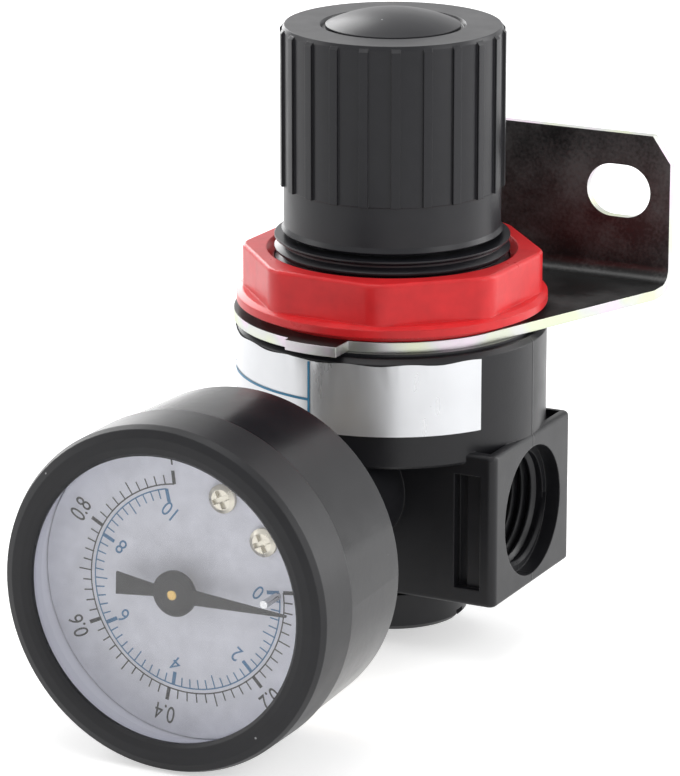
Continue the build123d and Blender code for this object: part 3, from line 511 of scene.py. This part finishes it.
class REGULATOR_OT_casting(bpy.types.Operator):
    """Satin black casting with its parting line, and the plugs"""

    bl_idname = "regulator.casting"
    bl_label = "Casting"

    def execute(self, context):
        """Coats the body and its plugs."""
        shades = settings().colours
        black = moulded("Satin black casting", shades.casting, 0.36, 3200.0, 0.000007, 0.00022, 0.45, 0.16)
        self.parting_line(black)
        coat(black, "body")
        coat(moulded("Black plug", shades.casting, 0.4), "bottom_plug")
        coat(metal("Plated plug", shades.steel, 0.35), "rear_port_plug")
        self.port_threads(black)
        return {"FINISHED"}

    def parting_line(self, material):
        """Fine raised seam where the two halves of the die met."""
        tree = material.node_tree
        shader = tree.nodes["Principled BSDF"]
        old = shader.inputs["Normal"].links[0].from_node
        place = tree.nodes.new("ShaderNodeTexCoord")
        split = tree.nodes.new("ShaderNodeSeparateXYZ")
        tree.links.new(place.outputs["Object"], split.inputs[0])
        off = math_node(tree, "ABSOLUTE", math_node(tree, "SUBTRACT", split.outputs["Y"], AXIS_Y))
        ridge = span(tree, off, 0.00006, 0.0002, 1.0, 0.0)
        grain = old.inputs["Height"].links[0].from_socket
        tree.links.new(math_node(tree, "ADD", math_node(tree, "MULTIPLY", ridge, 6.0), grain), old.inputs["Height"])

    def port_threads(self, material):
        """Turns of thread inside both ports."""
        detail = settings().detail
        radius = MOUNTS["outlet_port"]["dims"]["r_mm"] * MM + 0.00002
        for name, side in (("outlet_thread", 1.0), ("inlet_thread", -1.0)):
            steps = int((detail.port_to - detail.port_from) / detail.port_pitch * 72)
            rows = []
            for step in range(steps + 1):
                angle = 2 * math.pi * step / 72
                along = detail.port_from + detail.port_pitch * step / 72
                fade = min(1.0, step / 30, (steps - step) / 30)
                row = []
                for offset, lift in ((-0.42, 0.0), (-0.1, 1.0), (0.1, 1.0), (0.42, 0.0)):
                    reach = radius - lift * fade * detail.port_depth
                    x = side * (along + offset * detail.port_pitch)
                    row.append((x, AXIS_Y + reach * math.cos(angle), PORT_Z + side * reach * math.sin(angle)))
                rows.append(row)
            piece(name, sheet_mesh(name, rows, smooth=False), material, "housing")


class REGULATOR_OT_knob(bpy.types.Operator):
    """Moulded black knob and bonnet"""

    bl_idname = "regulator.knob"
    bl_label = "Knob and bonnet"

    def execute(self, context):
        """Coats the knob and the bonnet."""
        shades = settings().colours
        coat(moulded("Black knob plastic", shades.knob, 0.34, 4200.0, 0.000004, 0.00016, 0.4, 0.14), "knob")
        coat(moulded("Black bonnet plastic", shades.knob, 0.3, 4200.0, 0.000003, 0.0001, 0.3), "bonnet")
        return {"FINISHED"}


class REGULATOR_OT_nut(bpy.types.Operator):
    """Glossy red panel nut"""

    bl_idname = "regulator.nut"
    bl_label = "Panel nut"

    def execute(self, context):
        """Coats the panel nut."""
        red = moulded("Red nut plastic", settings().colours.nut, 0.3, 2600.0, 0.000006, 0.00025, 0.25, 0.12)
        red.node_tree.nodes["Principled BSDF"].inputs["Subsurface Weight"].default_value = 0.0
        coat(red, "panel_nut")
        return {"FINISHED"}


class REGULATOR_OT_bracket(bpy.types.Operator):
    """Zinc-plated bracket: cloudy faces painted dark for the shade they reflect, and cut edges painted pale as
    highlights
    """

    bl_idname = "regulator.bracket"
    bl_label = "Bracket"

    def execute(self, context):
        """Coats the bracket."""
        shades = settings().colours
        material, tree, shader = new_finish("Bright zinc plate", shades.zinc, 0.38, 0.85)
        clouds = use_group(tree, "Cloudy plating")
        # Face colour: painted dark for the shade the plating reflects, with random paler clouds.
        face = blend_colours(tree, clouds.outputs["Mask"], tuple(shades.zinc), tuple(shades.zinc_cloud))
        # The cut edges get a pale painted highlight, which the ramp below tints green and pink.
        edge = self.cut_edges(tree)
        edge_highlight_tint = tree.nodes.new("ShaderNodeValToRGB")
        ramp = edge_highlight_tint.color_ramp
        ramp.elements[0].position, ramp.elements[0].color = 0.38, (0.62, 0.66, 0.5, 1.0)
        ramp.elements[1].position, ramp.elements[1].color = 0.62, (0.72, 0.56, 0.7, 1.0)
        middle = ramp.elements.new(0.5)
        middle.color = (*shades.zinc_edge_highlight, 1.0)
        tree.links.new(noise_node(tree, 130.0, 2.0), edge_highlight_tint.inputs["Fac"])
        tree.links.new(blend_colours(tree, edge, face, edge_highlight_tint.outputs["Color"]), shader.inputs["Base Color"])
        clouds.inputs["Roughness"].default_value = 0.34
        tree.links.new(clouds.outputs["Roughness"], shader.inputs["Roughness"])
        bump(tree, shader, clouds.outputs["Height"], 0.000006, 0.00015)
        coat(material, "mounting_bracket")
        return {"FINISHED"}

    def cut_edges(self, tree):
        """Mask of the sheet's cut edges, where the pale highlight is painted: level normals on the eye, upright ones on
        the wall leg.
        """
        low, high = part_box("mounting_bracket")
        bend = 0.0035
        shape = tree.nodes.new("ShaderNodeNewGeometry")
        normal = tree.nodes.new("ShaderNodeSeparateXYZ")
        tree.links.new(shape.outputs["True Normal"], normal.inputs[0])
        place = tree.nodes.new("ShaderNodeTexCoord")
        spot = tree.nodes.new("ShaderNodeSeparateXYZ")
        tree.links.new(place.outputs["Object"], spot.inputs[0])
        level = math_node(tree, "LESS_THAN", math_node(tree, "ABSOLUTE", normal.outputs["Z"]), 0.3)
        on_eye = math_node(tree, "LESS_THAN", spot.outputs["Y"], high.y - bend)
        upright = math_node(tree, "LESS_THAN", math_node(tree, "ABSOLUTE", normal.outputs["Y"]), 0.3)
        on_wall = math_node(tree, "GREATER_THAN", spot.outputs["Z"], low.z + bend)
        side = math_node(tree, "GREATER_THAN", math_node(tree, "ABSOLUTE", normal.outputs["X"]), 0.9)
        eye_edge = math_node(tree, "MULTIPLY", level, on_eye)
        wall_edge = math_node(tree, "MULTIPLY", upright, on_wall)
        return math_node(tree, "MAXIMUM", math_node(tree, "MAXIMUM", eye_edge, wall_edge), side)


class REGULATOR_OT_label(bpy.types.Operator):
    """Foil label with its blue rules, lightly creased along the top"""

    bl_idname = "regulator.label"
    bl_label = "Label"

    def execute(self, context):
        """Replaces the plain label with a rippled foil."""
        shades, detail = settings().colours, settings().detail
        random.seed(settings().studio.seed)
        material, tree, shader = new_finish("Silver foil", shades.foil, 0.34, 0.6)
        ripple = noise_node(tree, 300.0, 4.0, (1.0, 1.0, 0.3))
        shade = span(tree, noise_node(tree, 90.0, 3.0), 0.3, 0.7)
        pale = tuple(min(1.0, value * 1.12) for value in shades.foil)
        tree.links.new(blend_colours(tree, shade, tuple(shades.foil), pale), shader.inputs["Base Color"])
        tree.links.new(span(tree, ripple, 0.3, 0.7, 0.24, 0.4), shader.inputs["Roughness"])
        bump(tree, shader, ripple, 0.00003)
        first, last = math.radians(-200.0), math.radians(-30.0)
        columns, levels = 340, 36
        bumps = [(random.uniform(0, 1), random.uniform(0.006, 0.02), random.uniform(0.4, 1.0)) for _ in range(26)]
        rows = []
        for level in range(levels + 1):
            up = level / levels
            row = []
            for column in range(columns + 1):
                along = column / columns
                swell = sum(tall * math.exp(-(((along - spot) / wide) ** 2)) for spot, wide, tall in bumps)
                lift = detail.label_ripple * swell * up**5
                lift += 0.4 * detail.label_ripple * math.sin(along * 60 + up * 4) * up * up
                radius = LABEL_R + 0.00002 + max(0.0, lift)
                angle = first + (last - first) * along
                height = LABEL_LOW.z + (LABEL_HIGH.z - LABEL_LOW.z) * up
                height += 0.00012 * math.sin(along * 47) * up
                row.append((radius * math.cos(angle), AXIS_Y + radius * math.sin(angle), height))
            rows.append(row)
        foil = piece("foil_label", sheet_mesh("foil_label", rows), material, "housing")
        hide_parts("label")
        self.rules(shades, detail)
        return {"FINISHED"}

    def rules(self, shades, detail):
        """Upright rule and the level rule that runs left from it."""
        blue = moulded("Blue print", shades.rule, 0.4, 6000.0, 0.000002, 0.0, 0.0)
        radius = LABEL_R + 0.00012
        half = detail.rule_width / 2 / radius
        upright = [
            [self.spot(radius, detail.rule_from + side * half, height) for side in (-1, 1)]
            for height in self.steps(LABEL_HIGH.z - 0.0002, LABEL_LOW.z, 12)
        ]
        piece("upright_rule", sheet_mesh("upright_rule", upright), blue, "housing")
        level = [
            [
                self.spot(radius, angle, detail.rule_height + side * detail.rule_width / 2)
                for angle in self.steps(math.radians(-165.0), detail.rule_from, 60)
            ]
            for side in (1, -1)
        ]
        piece("level_rule", sheet_mesh("level_rule", level), blue, "housing")

    def spot(self, radius, angle, height):
        """Point on the label."""
        return (radius * math.cos(angle), AXIS_Y + radius * math.sin(angle), height)

    def steps(self, first, last, count):
        """Even steps from one value to another."""
        return [first + (last - first) * index / count for index in range(count + 1)]


class REGULATOR_OT_gauge_shell(bpy.types.Operator):
    """Enamelled gauge case and bezel, lens and gasket"""

    bl_idname = "regulator.gauge_shell"
    bl_label = "Gauge shell"

    def execute(self, context):
        """Coats the gauge's outer pieces."""
        shades = settings().colours
        coat(moulded("Black bezel enamel", shades.gauge, 0.4, 1500.0, 0.000006, 0.00025, 0.4, 0.12), "gauge_bezel")
        coat(self.case_enamel(shades), "gauge_case")
        coat(moulded("Black gasket rubber", shades.rubber, 0.6), "lens_gasket")
        coat(self.lens(), "gauge_lens")
        return {"FINISHED"}

    def case_enamel(self, shades):
        """Gloss black outside, pale paint inside the case's rim."""
        material = moulded("Black case enamel", shades.gauge, 0.22, 900.0, 0.00001, 0.0002, 0.4, 0.14)
        tree = material.node_tree
        shader = tree.nodes["Principled BSDF"]
        place = tree.nodes.new("ShaderNodeTexCoord")
        spot = tree.nodes.new("ShaderNodeSeparateXYZ")
        tree.links.new(place.outputs["Object"], spot.inputs[0])
        across = math_node(tree, "POWER", spot.outputs["X"], 2.0)
        height = math_node(tree, "POWER", math_node(tree, "SUBTRACT", spot.outputs["Z"], GAUGE_Z), 2.0)
        radius = math_node(tree, "SQRT", math_node(tree, "ADD", across, height))
        inside = math_node(tree, "LESS_THAN", radius, 0.0193)
        front = math_node(tree, "LESS_THAN", spot.outputs["Y"], DIAL_Y + 0.002)
        old = shader.inputs["Base Color"].links[0].from_socket
        mask = math_node(tree, "MULTIPLY", inside, front)
        tree.links.new(blend_colours(tree, mask, old, tuple(shades.dial)), shader.inputs["Base Color"])
        return material

    def lens(self):
        """Clear lens that lets the lamps through to the dial."""
        material, tree, shader = new_finish("Clear lens", (1.0, 1.0, 1.0), 0.02)
        shader.inputs["Transmission Weight"].default_value = 1.0
        shader.inputs["IOR"].default_value = 1.45
        path = tree.nodes.new("ShaderNodeLightPath")
        clear = tree.nodes.new("ShaderNodeBsdfTransparent")
        choose = tree.nodes.new("ShaderNodeMixShader")
        passes = math_node(tree, "MAXIMUM", path.outputs["Is Shadow Ray"], path.outputs["Is Diffuse Ray"])
        tree.links.new(passes, choose.inputs["Fac"])
        tree.links.new(shader.outputs[0], choose.inputs[1])
        tree.links.new(clear.outputs[0], choose.inputs[2])
        tree.links.new(choose.outputs[0], tree.nodes["Material Output"].inputs["Surface"])
        return material


class REGULATOR_OT_dial(bpy.types.Operator):
    """Dial with its two printed scales and plain numbers"""

    bl_idname = "regulator.dial"
    bl_label = "Dial"

    def execute(self, context):
        """Coats the dial and prints it."""
        shades, prints = settings().colours, settings().dial
        coat(moulded("White dial paint", shades.dial, 0.45, 6000.0, 0.000002, 0.0, 0.0, 0.05), "gauge_dial")
        black = moulded("Black dial ink", shades.outer_scale, 0.5, 6000.0, 0.000002, 0.0, 0.0)
        blue = moulded("Blue dial ink", shades.inner_scale, 0.5, 6000.0, 0.000002, 0.0, 0.0)
        self.centre = Vector((0.0, DIAL_Y - 0.00003, GAUGE_Z - prints.drop))
        unit = prints.sweep * prints.inner_share
        outer = [(prints.zero - prints.sweep * index / 50, index, 5, 10) for index in range(51)]
        inner = [(prints.zero - unit * index / 5, index, 5, 10) for index in range(51)]
        self.scale("outer_scale", outer, prints.outer_r, 1.0, black, prints)
        self.scale("inner_scale", inner, prints.inner_r, -1.0, blue, prints)
        for index in range(6):
            angle = prints.zero - prints.sweep * index / 5
            text = ("0", "0.2", "0.4", "0.6", "0.8", "1")[index]
            self.number(text, angle, prints.outer_text_r, prints.outer_text, angle - math.pi / 2, black, 0.74)
        for index in range(6):
            angle = prints.zero - unit * 2 * index
            name = str(2 * index)
            self.number(name, angle, prints.inner_text_r, prints.inner_text, prints.art_turn, blue, 0.8)
        return {"FINISHED"}

    def scale(self, name, ticks, radius, side, ink, prints):
        """Line and ticks of one scale; side is +1 for ticks outward and -1 for ticks inward."""
        mesh = bmesh.new()
        first, last = ticks[0][0], ticks[-1][0]
        steps = 160
        ring = []
        for index in range(steps + 1):
            angle = first + (last - first) * index / steps
            pair = [self.place(angle, radius + offset) for offset in (-prints.line / 2, prints.line / 2)]
            ring.append([mesh.verts.new(point) for point in pair])
        for before, after in zip(ring, ring[1:]):
            mesh.faces.new((before[0], before[1], after[1], after[0]))
        for angle, index, half, whole in ticks:
            long_tick = index % half == 0
            wide = prints.thick if index % whole == 0 else prints.line
            reach = prints.mid_tick if long_tick else prints.short_tick
            near, far = radius, radius + side * reach
            swing = wide / 2 / radius
            corners = [
                self.place(angle - swing, near),
                self.place(angle + swing, near),
                self.place(angle + swing * near / far, far),
                self.place(angle - swing * near / far, far),
            ]
            mesh.faces.new([mesh.verts.new(point) for point in corners])
        bmesh.ops.recalc_face_normals(mesh, faces=mesh.faces)
        data = bpy.data.meshes.new(name)
        mesh.to_mesh(data)
        mesh.free()
        piece(name, data, ink, "housing")

    def place(self, angle, radius):
        """Point of the print, anticlockwise from the right as seen from the front."""
        return self.centre + Vector((radius * math.cos(angle), 0.0, radius * math.sin(angle)))

    def number(self, text, angle, radius, size, turn, ink, narrow):
        """One printed number."""
        data = bpy.data.curves.new("number", "FONT")
        data.body = text
        data.size = size
        data.align_x, data.align_y = "CENTER", "CENTER"
        data.materials.append(ink)
        label = bpy.data.objects.new("number_" + ink.name.split()[0].lower() + "_" + text.replace(".", "_"), data)
        bpy.context.scene.collection.objects.link(label)
        front = Matrix.Rotation(math.pi / 2, 4, "X") @ Matrix.Rotation(turn, 4, "Z")
        squeeze = Matrix.Diagonal((narrow, 1.0, 1.0, 1.0))
        label.matrix_world = Matrix.Translation(self.place(angle, radius)) @ front @ squeeze
        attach(label, "housing")


class REGULATOR_OT_works(bpy.types.Operator):
    """Pointer, pin, screws and the brass works of the gauge"""

    bl_idname = "regulator.works"
    bl_label = "Gauge works"

    def execute(self, context):
        """Coats the gauge's inner pieces."""
        shades = settings().colours
        coat(moulded("Grey pointer paint", shades.pointer, 0.45, 4000.0, 0.000003, 0.00005, 0.0), "pointer")
        coat(metal("Ivory screw plating", shades.screw, 0.3), "dial_screws")
        coat(metal("Bright pin", shades.foil, 0.2), "stop_pin")
        brass = metal("Turned brass", shades.brass, 0.28)
        coat(brass, "pointer_spindle", "sector_gear", "movement_link", "movement_frame", "bourdon_tube", "gauge_socket")
        return {"FINISHED"}


class REGULATOR_OT_inner_parts(bpy.types.Operator):
    """Screw, springs, diaphragm and valve inside the housing"""

    bl_idname = "regulator.inner_parts"
    bl_label = "Inner parts"

    def execute(self, context):
        """Coats what the housing hides."""
        shades = settings().colours
        steel = metal("Plain steel", shades.steel, 0.32)
        coat(steel, "adjusting_screw", "spring_seat_nut", "diaphragm_upper_plate", "diaphragm_lower_plate")
        coat(metal("Spring steel", tuple(v * 0.8 for v in shades.steel), 0.3), "range_spring", "valve_spring")
        coat(metal("Valve brass", shades.brass, 0.3), "thrust_washer", "relief_seat", "valve_stem")
        coat(moulded("Black rubber", shades.rubber, 0.55, 3000.0), "diaphragm", "poppet_seal", "plug_o_ring")
        return {"FINISHED"}


OPERATORS = (
    REGULATOR_OT_studio,
    REGULATOR_OT_casting,
    REGULATOR_OT_knob,
    REGULATOR_OT_nut,
    REGULATOR_OT_bracket,
    REGULATOR_OT_label,
    REGULATOR_OT_gauge_shell,
    REGULATOR_OT_dial,
    REGULATOR_OT_works,
    REGULATOR_OT_inner_parts,
)


class REGULATOR_PT_panel(bpy.types.Panel):
    """Steps that dress the regulator"""

    bl_idname = "REGULATOR_PT_panel"
    bl_label = "Regulator"
    bl_space_type = "VIEW_3D"
    bl_region_type = "UI"
    bl_category = "Regulator"

    def draw(self, context):
        """Lists the steps."""
        for step in OPERATORS:
            self.layout.operator(step.bl_idname)


class RegulatorSettings(bpy.types.PropertyGroup):
    """All settings of the regulator."""

    colours: PointerProperty(type=RegulatorColours)
    dial: PointerProperty(type=DialPrint)
    detail: PointerProperty(type=RegulatorDetail)
    studio: PointerProperty(type=StudioSettings)


CLASSES = (
    RegulatorColours,
    DialPrint,
    RegulatorDetail,
    StudioSettings,
    RegulatorSettings,
    *OPERATORS,
    REGULATOR_PT_panel,
)


def register():
    """Registers the classes and the scene's settings."""
    for item in CLASSES:
        bpy.utils.register_class(item)
    bpy.types.Scene.regulator = PointerProperty(type=RegulatorSettings)


def unregister():
    """Takes them off again."""
    del bpy.types.Scene.regulator
    for item in reversed(CLASSES):
        bpy.utils.unregister_class(item)


def main():
    """Runs the steps in order."""
    register()
    bpy.ops.regulator.studio()
    bpy.ops.regulator.casting()
    bpy.ops.regulator.knob()
    bpy.ops.regulator.nut()
    bpy.ops.regulator.bracket()
    bpy.ops.regulator.label()
    bpy.ops.regulator.gauge_shell()
    bpy.ops.regulator.dial()
    bpy.ops.regulator.works()
    bpy.ops.regulator.inner_parts()


if __name__ == "__main__":
    main()
